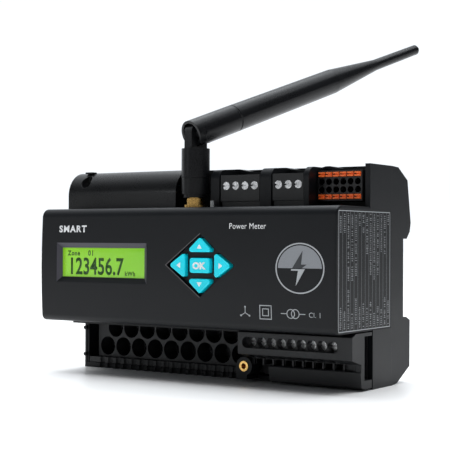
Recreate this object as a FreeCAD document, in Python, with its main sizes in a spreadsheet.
import FreeCAD, Part
import os
import re
import Sketcher

# Nine-module energy meter for a 35 mm rail, with pluggable terminals and a swivel antenna.
# Millimetres. Origin: middle of the seat that lies on the rail. Front faces -Y, top is +Z.

DIMENSIONS = [
    # case
    ("case_width", 162.0, "nine rail modules of 18 mm"),
    ("case_top", 50.0, "top face above the rail's centre line"),
    ("case_bottom", -47.4, "bottom face"),
    ("case_wall", 2.4, "moulded wall"),
    ("seam_y", -12.0, "joint between the front and rear housings"),
    ("back_y", 7.4, "rearmost wall, just clear of the panel behind a 7.5 mm deep rail"),
    # rail seat
    ("rail_size", 35.0, "rail height"),
    ("rail_gap", 0.3, "clearance of the notch to the rail"),
    ("rail_lip", 1.3, "front of the hooks behind the rail's flange"),
    ("hook_grip", 1.35, "how far a hook reaches over the flange"),
    ("hook_thick", 1.8, "hook thickness"),
    ("seat_width", 140.0, "width of the raised seat"),
    ("seat_height", 31.0, "height of the raised seat"),
    ("seat_rise", 0.4, "how far the seat stands proud of the notch floor"),
    # nose
    ("nose_front", -62.5, "front face"),
    ("nose_top", 31.3, "roof of the nose"),
    ("nose_bottom", -22.2, "underside of the nose"),
    ("nose_crown", 0.9, "bulge of the front face"),
    ("nose_top_round", 4.2, "radius of the upper front edge"),
    ("nose_bottom_round", 3.0, "radius of the lower front edge"),
    ("nose_end_round", 0.9, "radius of the end edges"),
    # upper tier
    ("tier_front", -24.0, "front wall behind the connector bays"),
    ("end_front", -33.0, "front edge of the upper right end wall"),
    ("rib_front", -40.0, "front edge of the ribs between the bays"),
    ("rib_top", 49.2, "top of the ribs"),
    ("rib_round", 4.5, "front upper radius of a rib"),
    ("rib_left", 2.6, "left side of the first rib"),
    ("four_bay_left", 7.4, "bay of the four-pole plug"),
    ("four_bay_right", 29.4, "the same, right side"),
    ("three_bay_left", 35.3, "bay of the three-pole plug"),
    ("three_bay_right", 52.1, "the same, right side"),
    ("push_bay_left", 54.7, "bay of the push-in plug, open to the end wall"),
    # lower tier
    ("lower_front", -30.3, "front edge of the lower end walls"),
    ("sill_front", -31.0, "front edge of the bottom wall"),
    # terminals
    ("pole_pitch", 5.08, "pitch of the screw terminals"),
    ("shaft_pitch", 9.95, "pitch of the measuring terminals in one row"),
    ("shaft_radius", 4.6, "radius of a screw shaft"),
    ("shaft_first_x", -69.6, "first shaft of the lower row"),
    ("shaft_low_z", -36.6, "lower row"),
    ("shaft_high_z", -27.4, "upper row"),
    ("plate_front", -26.0, "face of the measuring terminals"),
    ("shaft_floor", -16.0, "floor of the screw shafts"),
    ("volt_left", 23.8, "left end of the nine-pole block"),
    ("volt_front", -49.0, "face of the nine-pole block"),
    ("volt_first_x", 29.0, "first pole"),
    ("volt_screw_z", -28.4, "screw line of the nine-pole block"),
    ("volt_wire_front", -38.6, "floor of the recess in front of the nine wire holes"),
    ("volt_wire_top", -36.1, "top of the wire holes and of that recess"),
    ("volt_ledge", -38.9, "ledge below the wire holes"),
    ("volt_slot_deep", 3.4, "slot over the nine screws"),
    ("volt_slot_half", 2.4, "half the height of that slot"),
    ("volt_bore_deep", 5.2, "screw heads behind the floor of the slot"),
    ("seal_x", 21.3, "brass insert below the nose"),
    ("seal_z", -40.1, "brass insert below the nose"),
    ("insert_front", -40.4, "front face of the insert"),
    ("insert_long", 6.6, "length of the insert"),
    ("insert_radius", 2.35, "outside of the insert"),
    ("insert_bore", 1.25, "core of the insert's M3 thread"),
    ("boss_radius", 4.2, "boss around the insert"),
    ("head_high", 1.8, "head of a terminal screw"),
    ("shank_long", 5.2, "shank of a terminal screw"),
    ("slot_half", 0.4, "half the width of a screwdriver slot"),
    ("big_head", 2.9, "screw heads of the measuring terminals"),
    ("upper_head", 2.5, "screw heads of the upper measuring terminals"),
    ("volt_head", 2.2, "screw heads of the nine-pole block"),
    ("big_shank", 1.5, "screw shanks of the measuring terminals"),
    ("small_shank", 1.3, "screw shanks of the other terminals"),
    ("cage_half", 1.9, "half the width of a wire clamp"),
    ("cage_rise", 2.4, "half the height of a wire clamp"),
    ("cage_long", 3.6, "length of a wire clamp along its screw"),
    ("flange_reach", 9.3, "flange under the nose, ahead of the lower end walls"),
    ("flange_thick", 2.6, "the same, thickness"),
    # boards
    ("board_front", -6.6, "front face of the main board"),
    ("board_thick", 1.6, "board thickness"),
    ("display_back", -51.2, "rear face of the display board"),
    # display and keypad
    ("window_left", -72.6, "bezel, left"),
    ("window_right", -14.8, "bezel, right"),
    ("window_low", -5.1, "bezel, bottom"),
    ("window_high", 17.0, "bezel, top"),
    ("bezel_slope", 4.2, "how far the bezel runs in, from well before the face"),
    ("glass_deep", 0.9, "glass behind the edge of the crowned face"),
    ("glass_thick", 1.4, "display window"),
    ("glass_lap", 1.3, "how far the window reaches behind the bezel"),
    ("pad_x", 13.0, "centre of the keypad"),
    ("pad_z", 5.5, "centre of the keypad"),
    ("pad_half_width", 18.5, "keypad recess, half diagonal"),
    ("pad_half_height", 14.0, "keypad recess, half diagonal"),
    ("pad_deep", 0.9, "depth of the keypad recess"),
    ("key_gap", 0.3, "gap around a key"),
    ("key_corner", 1.1, "rounding of a key's corners"),
    ("key_edge", 0.45, "rounding of a key's front edge"),
    ("cover_round", 11.5, "front upper radius of the upper terminal cover"),
    ("cover_inner_round", 9.5, "the same, inside"),
    ("key_proud", 0.35, "how far a key stands out of the front face"),
    # upper terminal cover
    ("cover_front", -43.5, "face of the upper terminal cover"),
    ("cover_right", -14.9, "right end of the cover"),
    ("cover_wall", 2.0, "wall of the cover"),
    ("cover_drop", 0.1, "top of the cover below the top of the case"),
    ("well_x", -71.2, "screw well of the cover, and the first upper terminal"),
    ("well_z", 45.0, "screw well of the cover"),
    ("well_radius", 3.0, "screw well of the cover"),
    ("well_floor", -33.5, "seat of the cover's screw"),
    ("upper_pitch", 10.1, "pitch of the upper measuring terminals"),
    ("upper_screw_z", 38.6, "screw line of the upper measuring terminals"),
    # plugs
    ("plug_front", -39.6, "face of the screw plugs"),
    ("plug_back", -28.2, "rear of the screw plugs"),
    ("plug_low", 32.0, "underside of the screw plugs"),
    ("plug_high", 46.4, "top of the screw plugs"),
    ("plug_screw_z", 41.5, "screw line of the plugs"),
    ("plug_step", 34.4, "underside of the plugs' front face"),
    ("plug_screw_radius", 1.85, "screw heads of the plugs"),
    ("four_first_x", 10.8, "first pole of the four-pole plug"),
    ("three_first_x", 38.7, "first pole of the three-pole plug"),
    ("push_front", -33.0, "face of the push-in plug"),
    ("push_back", -20.4, "rear of the push-in plug"),
    ("push_low", 34.0, "underside of the push-in plug"),
    ("push_high", 47.4, "top of the push-in plug"),
    ("push_mid_x", 66.1, "middle of the push-in plug"),
    ("push_pitch", 3.55, "pitch of the push-in plug"),
    ("push_hole_high", 42.5, "upper row of wire holes"),
    ("push_hole_low", 39.0, "lower row of wire holes"),
    ("push_hole_radius", 1.45, "wire holes"),
    ("lever_row_high", 45.7, "upper row of levers"),
    ("lever_row_low", 35.9, "lower row of levers"),
    ("lever_half", 1.45, "half the width of a lever"),
    ("lever_rise", 1.0, "half the height of a lever"),
    # antenna
    ("jack_x", -6.0, "antenna axis"),
    ("jack_y", -40.0, "antenna axis"),
    ("jack_top", 36.0, "shoulder of the brass jack"),
    ("jack_flange_radius", 5.5, "flange of the jack on the roof"),
    ("collar_radius", 4.2, "collar of the jack above its flange"),
    ("jack_thread", 3.1, "thread of the jack"),
    ("light_x", 5.0, "light pipe in the roof"),
    ("light_y", -42.3, "light pipe in the roof"),
    ("light_rise", 3.4, "how far the light pipe stands out of the roof"),
    ("nut_low", 36.3, "underside of the coupling nut"),
    ("nut_step", 37.9, "shoulder between the nut's narrow foot and its grip"),
    ("nut_high", 45.6, "top of the coupling nut"),
    ("hinge_z", 66.6, "antenna hinge"),
    ("stem_radius", 6.6, "antenna stem"),
    ("tongue_width", 5.4, "middle lug of the antenna hinge"),
    ("lug_radius", 4.6, "the same, round end"),
    ("post_drop", 7.45, "top of the stem's post below the hinge"),
    ("fork_end", 3.0, "open end of the rod behind the hinge"),
    ("rod_wall", 1.3, "wall of the rod around its open end"),
    ("hinge_gap", 0.2, "side clearance in the antenna hinge"),
    ("hinge_pin_radius", 1.5, "hinge pin"),
    ("rod_length", 165.0, "hinge to tip"),
    ("rod_tip_radius", 2.9, "thin end of the rod"),
    ("rod_azimuth", 74.0, "direction of the rod, degrees from +X"),
    ("rod_tilt", 70.3, "lean of the rod from upright, degrees"),
]

ALIASES = {name for name, number, note in DIMENSIONS}
SEAT_HOOKS_X = (-52.0, 0.0, 52.0)
LATCHES = (("left", -32.0), ("right", 32.0))
HOUSING_SCREWS = ((-70.0, -30.0), (70.0, -30.0), (-70.0, 30.0), (70.0, 30.0))

doc = FreeCAD.newDocument("EnergyMeter")
nodes = []


def make_sheet():
    """The driving dimensions, one alias a row."""
    table = doc.addObject("Spreadsheet::Sheet", "Dimensions")
    for row, (name, number, note) in enumerate(DIMENSIONS, start=1):
        table.set("A%d" % row, name)
        table.set("B%d" % row, str(number))
        table.setAlias("B%d" % row, name)
        table.set("C%d" % row, note)
    doc.recompute()
    return table


sheet = make_sheet()


def size(name):
    """The number in one cell of the sheet."""
    return float(sheet.get(name))


def value(text):
    """What an expression on the sheet comes to now."""
    return float(sheet.evalExpression(formula(text)))


def formula(text):
    """An expression on the sheet: each alias in the text gets the sheet's name in front."""
    def named(match):
        word = match.group(0)
        return "Dimensions." + word if word in ALIASES else word
    return re.sub(r"[A-Za-z_][A-Za-z_0-9]*", named, str(text))


def bind(thing, prop, text):
    thing.setExpression(prop, formula(text))


def place(thing, corner):
    for axis, text in zip("xyz", corner):
        bind(thing, "Placement.Base." + axis, text)


def box(name, x, y, z):
    """A block between low and high along each axis."""
    block = doc.addObject("Part::Box", name)
    for prop, (low, high) in zip(("Length", "Width", "Height"), (x, y, z)):
        bind(block, prop, "(%s) - (%s)" % (high, low))
    place(block, (x[0], y[0], z[0]))
    return block


TURNS = {
    "x": FreeCAD.Rotation(FreeCAD.Vector(0, 1, 0), 90),
    "y": FreeCAD.Rotation(FreeCAD.Vector(1, 0, 0), -90),
    "z": FreeCAD.Rotation(),
}


def bar(name, axis, start, radius, length):
    """A round bar that runs from start along +axis."""
    shaft = doc.addObject("Part::Cylinder", name)
    shaft.Placement = FreeCAD.Placement(FreeCAD.Vector(), TURNS[axis])
    bind(shaft, "Radius", radius)
    bind(shaft, "Height", length)
    place(shaft, start)
    return shaft


def fuse(name, things):
    whole = doc.addObject("Part::MultiFuse", name)
    whole.Shapes = things
    whole.Refine = True
    return whole


def group(name, things):
    """Separate solids that share one node."""
    whole = doc.addObject("Part::Compound", name)
    whole.Links = things
    return whole


def cut(name, base, tools):
    left = doc.addObject("Part::Cut", name)
    left.Base = base
    left.Tool = tools[0] if len(tools) == 1 else fuse(name + "_tools", tools)
    left.Refine = True
    return left


def common(name, first, second):
    both = doc.addObject("Part::Common", name)
    both.Base = first
    both.Tool = second
    return both


def rounded(name, base, radius, chosen):
    """Fillet of the edges that the chosen test accepts."""
    doc.recompute()
    result = doc.addObject("Part::Fillet", name)
    result.Base = base
    picks = [i for i, edge in enumerate(base.Shape.Edges, start=1) if chosen(edge)]
    result.Edges = [(i, size(radius), size(radius)) for i in picks]
    return result


def near(a, b):
    return abs(a - b) < 0.01


def plane_of(body, role):
    return [item for item in body.Origin.OriginFeatures if item.Role == role][0]


def outline(name, plane, corners, bulges=()):
    """A body with a closed sketch of straight sides, each corner bound to the sheet.

    bulges pairs a side's number with the alias of its rise: that side is an arc.
    """
    body = doc.addObject("PartDesign::Body", name + "_body")
    sketch = body.newObject("Sketcher::SketchObject", name + "_sketch")
    sketch.AttachmentSupport = (plane_of(body, plane), "")
    sketch.MapMode = "FlatFace"
    points = [FreeCAD.Vector(value(across), value(up), 0) for across, up in corners]
    rises = dict(bulges)
    for number, first in enumerate(points):
        last = points[(number + 1) % len(points)]
        if number in rises:
            chord = last - first
            side = FreeCAD.Vector(chord.y, -chord.x, 0).normalize()
            middle = (first + last) * 0.5 + side * size(rises[number])
            sketch.addGeometry(Part.Arc(first, middle, last))
            sketch.addConstraint(Sketcher.Constraint("Radius", number, sketch.Geometry[number].Radius))
        else:
            sketch.addGeometry(Part.LineSegment(first, last))
    for number, (across, up) in enumerate(corners):
        before = (number - 1) % len(points)
        begin = 2 if number in rises and turns_back(sketch.Geometry[number], points[number]) else 1
        end = 1 if before in rises and turns_back(sketch.Geometry[before], points[before]) else 2
        sketch.addConstraint(Sketcher.Constraint("Coincident", before, end, number, begin))
        for kind, text in (("DistanceX", across), ("DistanceY", up)):
            index = sketch.addConstraint(Sketcher.Constraint(kind, -1, 1, number, begin, value(text)))
            sketch.setExpression("Constraints[%d]" % index, formula(text))
    return body, sketch


def turns_back(arc, start):
    """True when the sketcher stored the arc with its ends the other way round."""
    return (arc.StartPoint - start).Length > 0.01


def slab(name, plane, corners, low, high, bulges=()):
    """The outline, padded from low to high along the plane's normal axis.

    YZ_Plane looks along +X, and XZ_Plane looks along -Y, so there low and high count along -Y.
    """
    body, sketch = outline(name, plane, corners, bulges)
    bind(sketch, "AttachmentOffset.Base.z", low)
    pad = body.newObject("PartDesign::Pad", name + "_pad")
    pad.Profile = sketch
    bind(pad, "Length", "(%s) - (%s)" % (high, low))
    body.Tip = pad
    return body


def body_round(body, name, radius, chosen):
    """A fillet feature on the body's chosen edges."""
    doc.recompute()
    base = body.Tip
    names = ["Edge%d" % i for i, e in enumerate(base.Shape.Edges, start=1) if chosen(e)]
    fillet = body.newObject("PartDesign::Fillet", name)
    fillet.Base = (base, names)
    bind(fillet, "Radius", radius)
    body.Tip = fillet
    return body


def along(edge, axis):
    """True for a straight edge that runs along the axis."""
    if not isinstance(edge.Curve, Part.Line):
        return False
    return abs(abs(getattr(edge.Curve.Direction, axis)) - 1.0) < 1e-6


def finish(node, thing):
    """Name the finished piece after its node."""
    thing.Label = node
    nodes.append((node, thing))
    return thing


HALF = "case_width / 2"
INNER = "case_width / 2 - case_wall"
NOTCH = "rail_size / 2 + rail_gap / 2"


# ---------------------------------------------------------------- housings

def make_rear_housing():
    """Back shell: rail notch with fixed upper hooks, raised seat and two latch channels."""
    floor = "-seat_rise"
    outer = slab("rear_outer", "YZ_Plane", [
        ("seam_y", "case_bottom"), ("seam_y + 5.2", "case_bottom + 0.5"), ("6.4", "-40.2"),
        ("6.6", "-19.2"), ("2.6", "-(%s)" % NOTCH), (floor, "-(%s)" % NOTCH), (floor, NOTCH),
        ("3.1", NOTCH), ("6.4", "20.9"), ("back_y", "25"), ("4.0", "case_top - 5.8"),
        ("seam_y + 6.4", "case_top - 0.3"), ("seam_y", "case_top"),
    ], "-(%s)" % HALF, HALF)
    cavity = slab("rear_cavity", "YZ_Plane", [
        ("seam_y - 0.01", "case_bottom + case_wall"), ("seam_y + 4.6", "case_bottom + case_wall + 0.5"),
        ("4.0", "-38.9"), ("4.2", "-21.4"),
        ("-seat_rise - case_wall", "-(%s) - case_wall" % NOTCH),
        ("-seat_rise - case_wall", "%s + case_wall" % NOTCH),
        ("2.4", "%s + case_wall" % NOTCH), ("4.2", "22.6"), ("back_y - case_wall", "25.4"),
        ("1.8", "case_top - 7.6"), ("seam_y + 5.4", "case_top - case_wall - 0.3"),
        ("seam_y - 0.01", "case_top - case_wall"),
    ], "-(%s)" % INNER, INNER)
    guides = []
    channels = []
    for side, middle in LATCHES:
        guides.append(box("guide_" + side, (middle - 10, middle + 10), ("-seat_rise - case_wall", 6),
                          (-46, "-(%s) - 0.4" % NOTCH)))
        channels.append(box("channel_" + side, (middle - 7.3, middle + 7.3),
                            ("rail_lip - 0.3", "rail_lip + hook_thick + 0.3"), (-50, -17)))
    hollow = cut("rear_hollow", cavity, guides)
    hooks = [box("hook_%d" % i, (x - 9, x + 9), ("rail_lip", "rail_lip + hook_thick"),
                 ("%s - hook_grip" % NOTCH, "%s + 1.5" % NOTCH)) for i, x in enumerate(SEAT_HOOKS_X)]
    seat = box("seat", ("-seat_width / 2", "seat_width / 2"), ("-seat_rise - 0.5", 0),
               ("-seat_height / 2", "seat_height / 2"))
    shell = cut("rear_shell", outer, [hollow])
    screw_holes = [bar("rear_screw_hole_%d" % i, "y", (x, -4, z), 1.6, 12)
                   for i, (x, z) in enumerate(HOUSING_SCREWS)]
    screw_seats = [bar("rear_screw_seat_%d" % i, "y", (x, 4.95, z), 2.9, 4)
                   for i, (x, z) in enumerate(HOUSING_SCREWS)]
    screw_pillars = [bar("rear_screw_pillar_%d" % i, "y", (x, -3, z), 4.2, 8)
                     for i, (x, z) in enumerate(HOUSING_SCREWS)]
    whole = fuse("rear_with_hooks", [shell, seat] + hooks + screw_pillars)
    vents = [box("rear_vent_%d" % i, (x - 1, x + 1), (0, 9), (26, 40))
             for i, x in enumerate(range(-60, 61, 6))]
    return finish("rear_housing", cut("rear_cut", whole, channels + screw_holes + screw_seats + vents))


BAYS = {                       # low and high x of each open bay of the upper tier
    "four_pole": ("four_bay_left", "four_bay_right"),
    "three_pole": ("three_bay_left", "three_bay_right"),
    "push_in": ("push_bay_left", INNER),
}
RIBS = (("rib_left", "four_bay_left"), ("four_bay_right", "three_bay_left"),
        ("three_bay_right", "push_bay_left"))


def around(middle, half):
    """Low and high ends of a span with this middle and half width."""
    return "%s - (%s)" % (middle, half), "%s + %s" % (middle, half)


def pole_x(first, number):
    return "%s + %d * pole_pitch" % (first, number)


def shaft_places():
    """Centres of the 18 measuring terminals: nine below, nine above by half a pitch."""
    places = []
    for number in range(9):
        places.append(("shaft_first_x + %d * shaft_pitch" % number, "shaft_low_z"))
        places.append(("shaft_first_x + (%d + 0.5) * shaft_pitch" % number, "shaft_high_z"))
    return places


def key_outlines():
    """Corners (x, z) of the five keys, each a list that runs round the key."""
    return {
        "ok": [("pad_x - 5.3", "pad_z - 3.3"), ("pad_x + 5.3", "pad_z - 3.3"),
               ("pad_x + 5.3", "pad_z + 3.3"), ("pad_x - 5.3", "pad_z + 3.3")],
        "up": [("pad_x - 7.4", "pad_z + 5.9"), ("pad_x + 7.4", "pad_z + 5.9"), ("pad_x", "pad_z + 12.4")],
        "down": [("pad_x", "pad_z - 12.4"), ("pad_x + 7.4", "pad_z - 5.9"),
                 ("pad_x - 7.4", "pad_z - 5.9")],
        "left": [("pad_x - 16.8", "pad_z"), ("pad_x - 7.8", "pad_z - 6.0"),
                 ("pad_x - 7.8", "pad_z + 6.0")],
        "right": [("pad_x + 7.8", "pad_z - 6.0"), ("pad_x + 16.8", "pad_z"),
                  ("pad_x + 7.8", "pad_z + 6.0")],
    }


def grown(corners, gap):
    """The corners of a key's hole: moved out from the key's middle, further at pointed corners."""
    middle_x = sum(value(x) for x, z in corners) / len(corners)
    middle_z = sum(value(z) for x, z in corners) / len(corners)
    result = []
    for x, z in corners:
        away = FreeCAD.Vector(value(x) - middle_x, value(z) - middle_z, 0)
        reach = 2.2 if len(corners) == 3 else 1.5
        away = away.normalize() * reach
        result.append(("%s + %s * %.3f" % (x, gap, away.x), "%s + %s * %.3f" % (z, gap, away.y)))
    return result


def key_prism(name, corners, back, front, radius):
    """A key or its hole: the outline from back to front with rounded corners."""
    body = slab(name, "XZ_Plane", corners, "-(%s)" % back, "-(%s)" % front)
    return body_round(body, name + "_round", radius, lambda edge: along(edge, "y"))


def make_nose():
    """Solid nose with its crowned front and rounded edges."""
    nose = slab("nose", "YZ_Plane", [
        ("nose_front", "nose_bottom"), ("seam_y", "nose_bottom"), ("seam_y", "nose_top"),
        ("nose_front", "nose_top")], "-(%s)" % HALF, HALF, [(3, "nose_crown")])
    body_round(nose, "nose_upper_edge", "nose_top_round", upper_front_edge("nose_front", "nose_top"))
    body_round(nose, "nose_lower_edge", "nose_bottom_round",
               upper_front_edge("nose_front", "nose_bottom"))

    def on_end(edge):
        on_side = all(near(abs(v.X), value(HALF)) for v in edge.Vertexes)
        return on_side and edge.BoundBox.YMin < size("nose_front") + 5 and edge.BoundBox.YMax < -50
    return body_round(nose, "nose_end_edges", "nose_end_round", on_end)


def make_rib(number, low, high):
    """A rib between two bays, rounded where its front meets its top."""
    rib = box("rib_block_%d" % number, (low, high), ("rib_front", "seam_y"), ("nose_top - 1", "rib_top"))
    return rounded("rib_%d" % number, rib, "rib_round", upper_front_edge("rib_front", "rib_top"))


def make_front_housing():
    """Front shell: nose, connector bays above it and terminal space below it."""
    nose = make_nose()
    tier = box("upper_tier", ("-(%s)" % HALF, HALF), ("tier_front", "seam_y"),
               ("nose_top - 1", "case_top"))
    end_wall = box("upper_end_wall", (INNER, HALF), ("end_front", "seam_y"), ("nose_top - 1", "case_top"))
    lower = box("lower_tier", ("-(%s)" % HALF, HALF), ("lower_front", "seam_y"),
                ("case_bottom", "nose_bottom + 1"))
    boss = bar("seal_boss", "y", ("seal_x", -40, "seal_z"), "boss_radius", 15)
    boss_foot = box("seal_boss_foot", ("seal_x - boss_radius", "seal_x + 1.5"), (-40, -25),
                    ("case_bottom + 1.2", "seal_z"))
    stubs = [bar("cover_stub_%d" % i, "y", ("-(%s) + 1.2" % HALF, "lower_front - 1.6", z), 0.9, 3)
             for i, z in enumerate((-27.6, -40.9))]
    flange = box("cover_flange", ("-(%s)" % HALF, "volt_left - 0.3"),
                 ("lower_front - flange_reach", "lower_front + 2"),
                 ("nose_bottom - flange_thick", "nose_bottom + 0.5"))
    ribs = [make_rib(i, low, high) for i, (low, high) in enumerate(RIBS)]
    solid = fuse("front_solid", [nose, tier, end_wall, lower, boss, boss_foot] + stubs + ribs)
    hollows = [
        box("nose_hollow", ("-(%s)" % INNER, INNER), ("nose_front + case_wall", "seam_y + 1"),
            ("nose_bottom + case_wall", "nose_top - case_wall")),
        box("tier_hollow", ("-(%s)" % INNER, INNER), ("tier_front + case_wall", "seam_y + 1"),
            ("nose_top - case_wall - 1", "case_top - case_wall")),
        box("lower_hollow", ("-(%s)" % INNER, INNER), ("lower_front - 1", "seam_y + 1"),
            ("case_bottom + case_wall", "nose_bottom + 0.01")),
        box("sill_trim", ("-(%s) - 1" % INNER, INNER), ("lower_front - 1", "lower_front + 0.3"),
            ("case_bottom + case_wall", "nose_bottom - 0.3")),
        box("lower_board_gap", ("-(%s)" % INNER, INNER), ("plate_front + 2", "seam_y + 1"),
            ("nose_bottom - 1", "nose_bottom + case_wall + 0.01")),
    ]
    windows = [
        box("upper_block_window", (-76.4, -17.6), ("tier_front - 1", "seam_y"), (32.6, 45.6)),
        box("four_window", ("four_bay_left + 0.7", "four_bay_right - 0.6"), ("tier_front - 1", "seam_y"),
            (33.0, 44.6)),
        box("three_window", ("three_bay_left + 0.7", "three_bay_right - 0.6"),
            ("tier_front - 1", "seam_y"), (33.0, 44.6)),
        box("push_window", ("push_bay_left + 0.15", "%s - 1.25" % INNER), ("tier_front - 1", "seam_y"),
            ("push_low - 0.3", "case_top - case_wall")),
    ]
    scoops = [bar("scoop_" + bay, "y", ("(%s) / 2 + (%s) / 2" % (low, high), "tier_front - 1",
                                        "case_top + 38.6"), 40, 9) for bay, (low, high) in BAYS.items()]
    display = make_bezel_cutter()
    pad = slab("pad_recess", "XZ_Plane", [
        ("pad_x - pad_half_width", "pad_z"), ("pad_x", "pad_z - pad_half_height"),
        ("pad_x + pad_half_width", "pad_z"), ("pad_x", "pad_z + pad_half_height")],
        "-(nose_front + pad_deep)", "-(nose_front - 3)")
    key_holes = [key_prism("hole_" + name, grown(corners, "key_gap"), "nose_front + 4", "nose_front - 2",
                           "key_corner") for name, corners in key_outlines().items()]
    jack_hole = bar("jack_hole", "z", ("jack_x", "jack_y", "nose_top - 4"), 3.2, 6)
    light_hole = bar("light_hole", "z", ("light_x", "light_y", "nose_top - 4"), 0.9, 6)
    insert_hole = bar("insert_hole", "y", ("seal_x", -41, "seal_z"), "insert_radius", 7.4)
    label_recess = box("label_recess", ("%s - 0.2" % HALF, "%s + 1" % HALF),
                       ("nose_front + 0.9", "seam_y - 1"), ("nose_bottom + 0.6", "nose_top - 1.6"))
    flutes = make_flutes("flute", "case_bottom - 1", 5)
    body = cut("front_cut", solid, hollows + windows + scoops + [display, pad, jack_hole, light_hole,
                                                                 insert_hole, label_recess]
               + key_holes + flutes)
    return finish("front_housing", fuse("front_with_flange", [body, flange]))


def make_bezel_cutter():
    """Window for the display: a bezel that narrows to the glass, and the glass's pocket behind it."""
    wedge = doc.addObject("Part::Wedge", "bezel_cutter")
    for prop, text in (("Xmin", "window_left"), ("Xmax", "window_right"), ("Zmin", "window_low"),
                       ("Zmax", "window_high"), ("X2min", "window_left + bezel_slope"),
                       ("X2max", "window_right - bezel_slope"), ("Z2min", "window_low + bezel_slope"),
                       ("Z2max", "window_high - bezel_slope"), ("Ymin", "nose_front - 2"),
                       ("Ymax", "nose_front + glass_deep + 0.01")):
        bind(wedge, prop, text)
    x, z = glass_span()
    pocket = box("glass_pocket", ("(%s) - 0.15" % x[0], "(%s) + 0.15" % x[1]),
                 ("nose_front + glass_deep", "nose_front + case_wall + 0.1"),
                 ("(%s) - 0.15" % z[0], "(%s) + 0.15" % z[1]))
    return fuse("display_cutter", [wedge, pocket])


def glass_span():
    """Low and high x, then low and high z, of the display window."""
    inward = "bezel_slope - glass_lap"
    x = ("window_left + " + inward, "window_right - (%s)" % inward)
    z = ("window_low + " + inward, "window_high - (%s)" % inward)
    return x, z


def make_upper_cover():
    """Snap-on cover over the upper measuring terminals, with a screw well at its left."""
    left, top = "-(%s)" % HALF, "case_top - cover_drop"
    solid = box("cover_block", (left, "cover_right"), ("cover_front", "tier_front - 0.2"),
                ("nose_top + 0.2", top))
    round_front = rounded("cover_rounded", solid, "cover_round", upper_front_edge("cover_front", top))
    inner_front, inner_top = "cover_front + cover_wall", "case_top - cover_drop - cover_wall"
    inner_block = box("cover_inner_block", (left + " + cover_wall", "cover_right - cover_wall"),
                      (inner_front, "tier_front + 1"), ("nose_top - 1", inner_top))
    inner = rounded("cover_inner", inner_block, "cover_inner_round",
                    upper_front_edge(inner_front, inner_top))
    well = bar("cover_well", "y", ("well_x", "well_floor - 12.5", "well_z"), "well_radius", 12.5)
    well_wall = bar("cover_well_wall", "y", ("well_x", "cover_front + 2.3", "well_z"),
                    "well_radius + 0.7", 14)
    tab = box("cover_tab", ("well_x - 4", "well_x + 0.4"), (-37.5, -34),
              ("case_top - 0.6", "case_top + 0.2"))
    shell = cut("cover_shell", round_front, [inner])
    walled = fuse("cover_walled", [shell, common("cover_well_part", round_front, well_wall), tab])
    through = bar("cover_screw_hole", "y", ("well_x", "well_floor - 1", "well_z"), 1.7, 14)
    screw = group_screw("cover_screw_part", ("well_x", "well_floor - 1.55", "well_z"), 2.7, 1.5, 1.6, 7.5)
    finish("cover_screw", screw)
    return finish("upper_terminal_cover", cut("cover_cut", walled, [well, through]))


def upper_front_edge(front, top):
    """Test for the edge along X where a block's front meets its top."""
    y, z = value(front), value(top)
    return lambda e: along(e, "x") and near(e.Vertexes[0].Y, y) and near(e.Vertexes[0].Z, z)


def group_screw(name, head_front, head_radius, head_high, shank_radius, shank_long):
    """A slotted screw whose head faces -Y; head_front is the middle of the head's face."""
    x, y, z = head_front
    head = bar(name + "_head", "y", (x, y, z), head_radius, head_high)
    shank = bar(name + "_shank", "y", (x, "%s + %s - 0.1" % (y, head_high), z), shank_radius, shank_long)
    whole = fuse(name + "_solid", [head, shank])
    slot = box(name + "_slot", ("%s - %s - 1" % (x, head_radius), "%s + %s + 1" % (x, head_radius)),
               ("%s - 1" % y, "%s + %s / 2" % (y, head_high)), around(z, "slot_half"))
    return cut(name, whole, [slot])


def make_screws(prefix, places, face_y, head, shank):
    """A slotted screw at each place (x, z) of a terminal block."""
    return [group_screw("%s_screw_%d" % (prefix, i), (x, face_y, z), head, "head_high", shank,
                        "shank_long")
            for i, (x, z) in enumerate(places)]


def make_clamps(prefix, places, back, shank):
    """A bored wire clamp on each screw; back is the y of the clamps' front side."""
    clamps = []
    for i, (x, z) in enumerate(places):
        cage = box("%s_cage_%d" % (prefix, i), around(x, "cage_half"),
                   (back, back + " + cage_long"), around(z, "cage_rise"))
        bore = bar("%s_cage_bore_%d" % (prefix, i), "y", (x, back + " - 1", z), shank, 9)
        clamps.append(cut("%s_clamp_%d" % (prefix, i), cage, [bore]))
    return clamps


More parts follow.
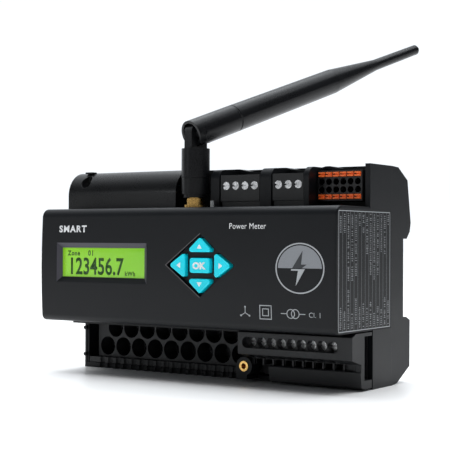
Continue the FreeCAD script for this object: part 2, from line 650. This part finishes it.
def make_measuring_terminals():
    """Lower left block: two staggered rows of screw shafts, wire funnels along its lower edge."""
    low = "case_bottom + case_wall + 1"
    block = box("measuring_body", ("-(%s) + 3" % INNER, "volt_left - 0.3"),
                ("plate_front", "board_front - 0.1"),
                (low, "nose_bottom - 0.15"))
    lip = box("measuring_lip", ("-(%s) + 0.3" % INNER, "seal_x - 4.7"),
              ("sill_front + 1.1", "plate_front + 1"),
              ("case_bottom + case_wall + 0.2", "shaft_low_z - 5.4"))
    tools = [box("measuring_flange_gap", ("-(%s)" % INNER, "volt_left"),
                 ("plate_front - 1", "lower_front + 6"),
                 ("nose_bottom - flange_thick - 0.3", "nose_bottom"))]
    places = shaft_places()
    for i, (x, z) in enumerate(places):
        tools.append(bar("shaft_%d" % i, "y", (x, "plate_front - 1", z), "shaft_radius",
                         "shaft_floor - plate_front + 1"))
        tools.append(bar("shank_bore_%d" % i, "y", (x, "shaft_floor - 1", z), "big_shank", 6.4))
        tools.append(box("cage_pocket_%d" % i, around(x, "cage_half + 0.1"),
                         ("shaft_floor + 0.8", "shaft_floor + cage_long + 1"),
                         around(z, "cage_rise + 0.2")))
        tools.append(box("wire_way_%d" % i, around(x, "1.5"),
                         ("shaft_floor + 1.1", "shaft_floor + 4.3"),
                         ("case_bottom", z + " - cage_rise - 0.1")))
    tools += make_flutes("funnel", "case_bottom", 7)
    finish("measuring_block", cut("measuring_cut", fuse("measuring_whole", [block, lip]), tools))
    screws = make_screws("measuring", places, "shaft_floor - head_high", "big_head", "big_shank")
    finish("measuring_screws", group("measuring_screw_set", screws))
    clamps = make_clamps("measuring", places, "shaft_floor + 0.9", "big_shank")
    finish("measuring_clamps", group("measuring_clamp_set", clamps))


def make_flutes(name, low, length):
    """Upright grooves along the lower front edge, one under each measuring terminal."""
    return [bar("%s_%d" % (name, i), "z",
                ("shaft_first_x + %d * shaft_pitch / 2" % i, "sill_front + 0.4", low),
                1.7, length) for i in range(18)]


def make_upper_terminals():
    """Block under the upper cover: six screw shafts in one row."""
    block = box("upper_body", (-76.0, -18.0), (-38, "board_front - 0.1"), (33.0, 45.2))
    places = [("well_x + %d * upper_pitch" % i, "upper_screw_z") for i in range(6)]
    tools = []
    for i, (x, z) in enumerate(places):
        tools.append(bar("upper_shaft_%d" % i, "y", (x, -39, z), "shaft_radius - 0.25", 9))
        tools.append(bar("upper_shank_bore_%d" % i, "y", (x, -31, z), "big_shank", 6.4))
        tools.append(box("upper_wire_way_%d" % i, around(x, "1.8"), (-28, -24.4), (z, 47)))
    tools.append(bar("upper_well_gap", "y", ("well_x", -39, "well_z"), "well_radius + 1.1", 14.6))
    finish("upper_block", cut("upper_cut", block, tools))
    finish("upper_screws",
           group("upper_screw_set", make_screws("upper", places, "-31.8", "upper_head", "big_shank")))


def make_voltage_terminals():
    """Lower right nine-pole block with a stadium slot over its screws and a toothed ledge."""
    left, right = "volt_left", HALF
    front = slab("volt_profile", "YZ_Plane", [
        ("volt_front", "nose_bottom - 1.8"), ("volt_front", "-33.6"), ("-41.0", "-35.9"),
        ("-41.0", "-38.9"),
        ("-41.4", "-39.4"), ("-40.6", "-45.4"), ("-38.4", "case_bottom + 0.9"),
        ("-31.2", "case_bottom + 0.9"),
        ("-31.2", "nose_bottom - 0.3"), ("-45.6", "nose_bottom - 0.3")], left, right)
    rear = box("volt_rear", (left, "%s - 0.3" % INNER), (-32, "board_front - 0.1"),
               ("case_bottom + case_wall + 1", "nose_bottom - 0.4"))
    side_slot = box("volt_side_slot", ("%s - 2.6" % INNER, "%s + 1" % HALF), (-38, "lower_front - 0.01"),
                    (-42.9, -24.0))
    side_trim = box("volt_side_trim", (INNER, "%s + 1" % HALF), ("lower_front - 0.05", "seam_y"),
                    (-50, -20))
    insert_gap = box("volt_insert_gap", (20, 35.2), (-50, -31), (-50, -38.9))
    insert_gap_low = box("volt_insert_gap_low", (20, 26.4), (-50, -25), (-50, -35.4))
    slot_ends = ("volt_first_x - 0.6", "volt_first_x + 8 * pole_pitch + 2.4")
    slot_middle = box("volt_slot_middle", slot_ends, ("volt_front - 1", "volt_front + volt_slot_deep"),
                      ("volt_screw_z - volt_slot_half", "volt_screw_z + volt_slot_half"))
    ends = [bar("volt_slot_end_%d" % i, "y", (x, "volt_front - 1", "volt_screw_z"), "volt_slot_half",
                "volt_slot_deep + 1") for i, x in enumerate(slot_ends)]
    places = [(pole_x("volt_first_x", i), "volt_screw_z") for i in range(9)]
    head_y = "volt_front + volt_slot_deep + volt_bore_deep - head_high"
    mouth = box("volt_mouth", ("volt_first_x - pole_pitch / 2", "%s - 2.6" % HALF), (-50, "volt_wire_front"),
                ("volt_ledge", "volt_wire_top"))
    dividers = [box("volt_divider_%d" % i, around("volt_first_x + (%d - 0.5) * pole_pitch" % i, "0.45"),
                    ("volt_wire_front - 1.3", "volt_wire_front + 1"), ("volt_ledge - 1", "volt_wire_top + 1"))
                for i in range(11)]
    tools = [side_slot, side_trim, insert_gap, insert_gap_low, slot_middle, cut("volt_mouth_cut", mouth, dividers)]
    tools += ends
    for i, (x, z) in enumerate(places):
        tools.append(bar("volt_bore_%d" % i, "y", (x, "volt_front", z), "volt_head + 0.1",
                         "volt_slot_deep + volt_bore_deep + 0.1"))
        tools.append(bar("volt_shank_bore_%d" % i, "y", (x, head_y, z), "small_shank", 7.2))
        tools.append(box("volt_wire_%d" % i, around(x, "1.9"), ("volt_wire_front - 1", -31),
                         ("volt_ledge", "volt_wire_top")))
        tools.append(box("volt_tooth_%d" % i, around(x, "1.0"), (-47.6, -40.8), (-37, -33.7)))
        tools.append(box("volt_cage_pocket_%d" % i, around(x, "cage_half + 0.1"),
                         (head_y + " + 2.7", head_y + " + cage_long + 2.9"),
                         around(z, "cage_rise + 0.2")))
    finish("voltage_block", cut("volt_cut", fuse("volt_whole", [front, rear]), tools))
    finish("voltage_screws",
           group("volt_screw_set", make_screws("volt", places, head_y, "volt_head", "small_shank")))
    clamps = make_clamps("volt", places, head_y + " + 2.8", "small_shank")
    finish("voltage_clamps", group("volt_clamp_set", clamps))


def make_screw_plug(name, first, poles):
    """Pluggable screw terminal: a body, screws that face the front, and a pinned header behind."""
    low_x = "%s - 2.9" % first
    high_x = "%s + %d * pole_pitch + 2.9" % (first, poles - 1)
    lower = box(name + "_lower", (low_x, high_x), ("plug_front + 0.9", "plug_back"),
                ("plug_low", "plug_step + 0.1"))
    upper = box(name + "_upper", (low_x, high_x), ("plug_front", "plug_back"), ("plug_step", "plug_high"))
    tools = []
    places = [(pole_x(first, i), "plug_screw_z") for i in range(poles)]
    pins = []
    for i, (x, z) in enumerate(places):
        tools.append(bar("%s_bore_%d" % (name, i), "y", (x, "plug_front - 1", z),
                         "plug_screw_radius + 0.1", 3.1))
        tools.append(bar("%s_shank_bore_%d" % (name, i), "y", (x, "plug_front", z), "small_shank", 7.2))
        tools.append(box("%s_wire_%d" % (name, i), around(x, "1.7"),
                         ("plug_front + 3.4", "plug_front + 6.8"), (39, "plug_high + 1")))
        tools.append(box("%s_socket_%d" % (name, i), around(x, "0.9"),
                         ("plug_back - 7", "plug_back + 1"), (34.6, 36.4)))
        pins.append(box("%s_pin_%d" % (name, i), around(x, "0.5"),
                        ("plug_back - 6", "plug_back + 1"), (35.0, 36.0)))
    finish(name + "_plug", cut(name + "_plug_cut", fuse(name + "_plug_body", [lower, upper]), tools))
    shroud = box(name + "_header_block", ("%s + 0.6" % low_x, "%s - 0.6" % high_x),
                 ("plug_back + 0.3", "board_front - 0.1"), (33.4, 44.2))
    finish(name + "_header", fuse(name + "_header_whole", [shroud] + pins))
    screws = make_screws(name, places, "plug_front + 0.2", "plug_screw_radius", "small_shank")
    finish(name + "_screws", group(name + "_screw_set", screws))


def make_push_in_plug():
    """Double-row push-in plug: round wire holes between two rows of orange release levers."""
    half = "3 * push_pitch + 0.35"
    block = box("push_in_block", ("push_mid_x - (%s)" % half, "push_mid_x + %s" % half),
                ("push_front", "push_back"), ("push_low", "push_high"))
    tools = []
    pins = []
    number = 0
    for hole_z, lever_z in (("push_hole_high", "lever_row_high"), ("push_hole_low", "lever_row_low")):
        for i in range(6):
            x = "push_mid_x + (%d - 2.5) * push_pitch" % i
            tools.append(bar("push_in_hole_%d" % number, "y", (x, "push_front - 1", hole_z),
                             "push_hole_radius", 9))
            tools.append(box("push_in_pocket_%d" % number, around(x, "lever_half + 0.15"),
                             ("push_front - 1", "push_front + 6.6"),
                             around(lever_z, "lever_rise + 0.15")))
            tools.append(box("push_in_socket_%d" % number, around(x, "0.8"),
                             ("push_back - 4", "push_back + 1"), around(hole_z, "0.8")))
            pins.append(box("push_in_pin_%d" % number, around(x, "0.4"),
                            ("push_back - 3", "push_back + 1"), around(hole_z, "0.4")))
            number += 1
            lever = box("lever_block_%d" % number, around(x, "lever_half"),
                        ("push_front - 0.5", "push_front + 5"), around(lever_z, "lever_rise"))
            groove = box("lever_groove_%d" % number, around(x, "lever_half + 1"),
                         ("push_front - 1", "push_front + 1.4"), around(lever_z, "0.25"))
            finish("push_in_lever_%02d" % number, cut("lever_%d" % number, lever, [groove]))
    finish("push_in_plug", cut("push_in_cut", block, tools))
    header = box("push_in_header_block",
                 ("push_mid_x - (%s) + 0.5" % half, "push_mid_x + %s - 0.5" % half),
                 ("push_back + 0.3", "board_front - 0.1"), (34.6, 46.8))
    finish("push_in_header", fuse("push_in_header_whole", [header] + pins))


def make_display():
    """Window, LCD module and backlight behind the bezel."""
    x, z = glass_span()
    glass = "nose_front + glass_deep + 0.05"
    finish("display_window", box("window_pane", x, (glass, glass + " + glass_thick"), z))
    finish("lcd_module", box("lcd_block", x, (glass + " + glass_thick + 0.05", "nose_front + 5"), z))
    finish("lcd_backlight", box("backlight_block", x, ("nose_front + 5.1", "display_back - 1.7"), z))


def make_keys():
    """Five separate keys and the silicone mat that carries them."""
    for name, corners in key_outlines().items():
        body = key_prism("key_" + name, corners, "nose_front + 3.4",
                         "nose_front - key_proud - nose_crown",
                         "key_corner")
        front = size("nose_front") - size("key_proud") - size("nose_crown")
        body_round(body, "key_edge_" + name, "key_edge", lambda e: near(e.BoundBox.YMin, front) and
                   near(e.BoundBox.YMax, front))
        finish("key_" + name, body)
    mat = box("mat_block", ("pad_x - 19", "pad_x + 19"), ("nose_front + 4.6", "nose_front + 6.2"),
              ("pad_z - 14.5", "pad_z + 14.5"))
    finish("keypad_mat", mat)


def make_boards():
    """Display board behind the nose, main board at the back, and the header that joins them."""
    finish("display_board",
           box("display_board_plate", (-74, 40), ("display_back - board_thick", "display_back"),
                                (-14, 22)))
    finish("main_board", box("main_board_plate", (-76, 76), ("board_front", "board_front + board_thick"),
                             (-41, 46)))
    finish("board_header",
           box("board_header_block", (-12, 12), ("display_back + 0.1", "board_front - 0.1"),
                               (-10, -4)))


def make_inner_parts():
    """The circuit parts that fill the housing."""
    front = "board_front - 0.1"
    finish("power_module", box("power_block", (32, 66), ("board_front - 22", front), (0, 24)))
    cans = [bar("capacitor_%d" % i, "y", (x, "board_front - 18", -8), 5, 17.9)
            for i, x in enumerate((36, 50, 64))]
    finish("supply_capacitors", group("capacitor_set", cans))
    finish("backup_battery", bar("battery_can", "y", (24, "board_front - 5.4", 14), 6.2, 5.3))
    finish("radio_module", box("radio_block", (-20, 4), ("board_front - 3.4", front), (4, 26)))
    rings = []
    for i in range(6):
        x = "-68 + %d * 9" % i
        can = box("sensor_block_%d" % i, around(x, "3.9"), ("board_front - 12", front), (-14, 2))
        hole = bar("sensor_hole_%d" % i, "z", (x, "board_front - 6", -15), 2, 18)
        rings.append(cut("sensor_%d" % i, can, [hole]))
    finish("current_sensors", group("sensor_set", rings))
    finish("status_light", bar("light_pipe", "z", ("light_x", "light_y", "nose_top - 3.4"), 0.85,
                               "light_rise + 3.4"))
    ring = bar("insert_body", "y", ("seal_x", "insert_front", "seal_z"), "insert_radius", "insert_long")
    thread = bar("insert_thread", "y", ("seal_x", "insert_front - 0.6", "seal_z"), "insert_bore",
                 "insert_long")
    finish("seal_insert", cut("insert_cut", ring, [thread]))
    screws = []
    for i, (x, z) in enumerate(HOUSING_SCREWS):
        head = bar("housing_screw_head_%d" % i, "y", (x, 5.0, z), 2.5, 1.2)
        shank = bar("housing_screw_shank_%d" % i, "y", (x, -4.9, z), 1.5, 10)
        slot = box("housing_screw_slot_%d" % i, (x - 3, x + 3), (5.6, 7), (z - 0.4, z + 0.4))
        screws.append(cut("housing_screw_%d" % i, fuse("housing_screw_solid_%d" % i, [head, shank]),
                          [slot]))
    finish("housing_screws", group("housing_screw_set", screws))
    finish("side_label", box("label_plate", ("%s - 0.2" % HALF, "%s - 0.05" % HALF),
                             ("nose_front + 1.0", "seam_y - 1.1"),
                             ("nose_bottom + 0.7", "nose_top - 1.7")))


def make_antenna():
    """Brass jack in the nose's roof, coupling nut, swivel stem with a lug, and the hinged rod."""
    x, y = "jack_x", "jack_y"
    flange = bar("jack_flange", "z", (x, y, "nose_top + 0.05"), "jack_flange_radius", 1.6)
    collar = bar("jack_collar", "z", (x, y, "nose_top + 1"), "collar_radius", "jack_top - nose_top - 1")
    thread = bar("jack_thread_bar", "z", (x, y, "nose_top - 6"), "jack_thread",
                 "jack_top - nose_top + 13")
    finish("antenna_jack", fuse("jack_whole", [flange, collar, thread]))
    grip = bar("nut_grip", "z", (x, y, "nut_step"), "stem_radius - 0.1", "nut_high - nut_step")
    foot = bar("nut_foot", "z", (x, y, "nut_low"), "stem_radius - 0.9", "nut_step - nut_low + 0.1")
    bore = bar("nut_bore", "z", (x, y, "nut_low - 1"), "jack_thread + 0.05", 30)
    finish("antenna_nut", cut("nut_cut", fuse("nut_whole", [grip, foot]), [bore]))
    make_stem()
    make_rod()


def antenna_turn():
    """Rotation that lays a rod drawn along +Z, hinge axis along X, in its rest direction."""
    swing = FreeCAD.Rotation(FreeCAD.Vector(0, 0, 1), size("rod_azimuth") - 90)
    lean = FreeCAD.Rotation(FreeCAD.Vector(1, 0, 0), -size("rod_tilt"))
    return swing, lean


def make_stem():
    """Swivel stem: a round post that ends in a lug with the hinge bore."""
    swing = antenna_turn()[0]
    post = bar("stem_post", "z", (0, 0, "nut_high + 0.12 - hinge_z"), "stem_radius",
               "hinge_z - nut_high - 0.12 - post_drop")
    lug = box("stem_lug", ("-tongue_width / 2", "tongue_width / 2"), ("-lug_radius", "lug_radius"),
              ("-post_drop - 0.4", 0))
    eye = bar("stem_eye", "x", ("-tongue_width / 2", 0, 0), "lug_radius", "tongue_width")
    bore = bar("stem_bore", "x", (-10, 0, 0), "hinge_pin_radius + 0.05", 20)
    stem = cut("stem_cut", fuse("stem_whole", [post, lug, eye]), [bore])
    set_antenna_place(stem, swing)
    finish("antenna_stem", stem)


def set_antenna_place(thing, rotation):
    doc.recompute()
    hinge = FreeCAD.Vector(size("jack_x"), size("jack_y"), size("hinge_z"))
    thing.Placement = FreeCAD.Placement(hinge, rotation)


def make_rod():
    """Rod: open end with two bosses beside the lug, thick sleeve, cone and thin rounded tip.

    The end is slotted on its lower side only, so the top of the tube runs on over the hinge.
    """
    swing, lean = antenna_turn()
    body, sketch = outline("rod", "XZ_Plane", [
        ("0", "-fork_end"), ("stem_radius", "-fork_end"), ("stem_radius", "24"),
        ("stem_radius - 0.25", "24.3"), ("stem_radius", "24.6"), ("stem_radius - 0.3", "rod_length * 0.57"),
        ("rod_tip_radius", "rod_length * 0.78"), ("rod_tip_radius - 0.2", "rod_length - 2"),
        ("rod_tip_radius - 1.4", "rod_length - 0.3"), ("0", "rod_length")])
    turn = body.newObject("PartDesign::Revolution", "rod_turn")
    turn.Profile = sketch
    turn.ReferenceAxis = (sketch, ["V_Axis"])
    turn.Angle = 360
    body.Tip = turn
    hollow = bar("rod_hollow", "z", (0, 0, "-fork_end - 1"), "stem_radius - rod_wall",
                 "fork_end + lug_radius + 3")
    boss = bar("fork_boss", "x", (-10, 0, 0), "hinge_pin_radius + 1.1", 20)
    ears = common("fork_ears", body, boss)
    slot = box("fork_slot", ("-(tongue_width / 2 + hinge_gap)", "tongue_width / 2 + hinge_gap"),
               ("-lug_radius - 0.3", 10), (-10, "lug_radius + 0.4"))
    pin_bore = bar("fork_bore", "x", (-10, 0, 0), "hinge_pin_radius", 20)
    tube = fuse("rod_tube", [cut("rod_open", body, [hollow]), ears])
    whip = cut("rod_cut", tube, [slot, pin_bore])
    set_antenna_place(whip, swing.multiply(lean))
    finish("antenna_rod", whip)
    half_pin = "stem_radius * 0.95"
    pin_space = box("pin_space", ("-" + half_pin, half_pin), (-3, 3), (-3, 3))
    pin = common("hinge_pin_solid", bar("hinge_pin", "x", (-10, 0, 0), "hinge_pin_radius", 20), pin_space)
    set_antenna_place(pin, swing.multiply(lean))
    finish("antenna_hinge_pin", pin)


def make_latches():
    """Two spring latches that slide down to let the rail go."""
    for side, middle in LATCHES:
        tongue = box("latch_plate_" + side, (middle - 7, middle + 7),
                     ("rail_lip", "rail_lip + hook_thick"),
                     ("case_bottom + 2.2", "-(%s) + hook_grip" % NOTCH))
        slot = box("latch_slot_" + side, (middle - 3, middle + 3), (0, 6),
                   ("case_bottom + 3.4", "case_bottom + 5"))
        finish("rail_latch_" + side, cut("latch_" + side, tongue, [slot]))


def main():
    make_rear_housing()
    make_front_housing()
    make_upper_cover()
    make_measuring_terminals()
    make_upper_terminals()
    make_voltage_terminals()
    make_screw_plug("four_pole", "four_first_x", 4)
    make_screw_plug("three_pole", "three_first_x", 3)
    make_push_in_plug()
    make_display()
    make_keys()
    make_boards()
    make_inner_parts()
    make_antenna()
    make_latches()
    doc.recompute()
    bad = [item.Name for item in doc.Objects if set(item.State) & {"Invalid", "Error"}]
    for node, thing in nodes:
        if thing.Shape.isNull() or not thing.Shape.isValid() or not thing.Shape.Solids:
            bad.append(node)
    if bad:
        raise RuntimeError("features that failed: " + ", ".join(bad))
    os.makedirs("parts", exist_ok=True)
    for node, thing in nodes:
        thing.Shape.exportStep("parts/%s.step" % node)
        print(node, len(thing.Shape.Solids), round(thing.Shape.Volume, 1))


main()
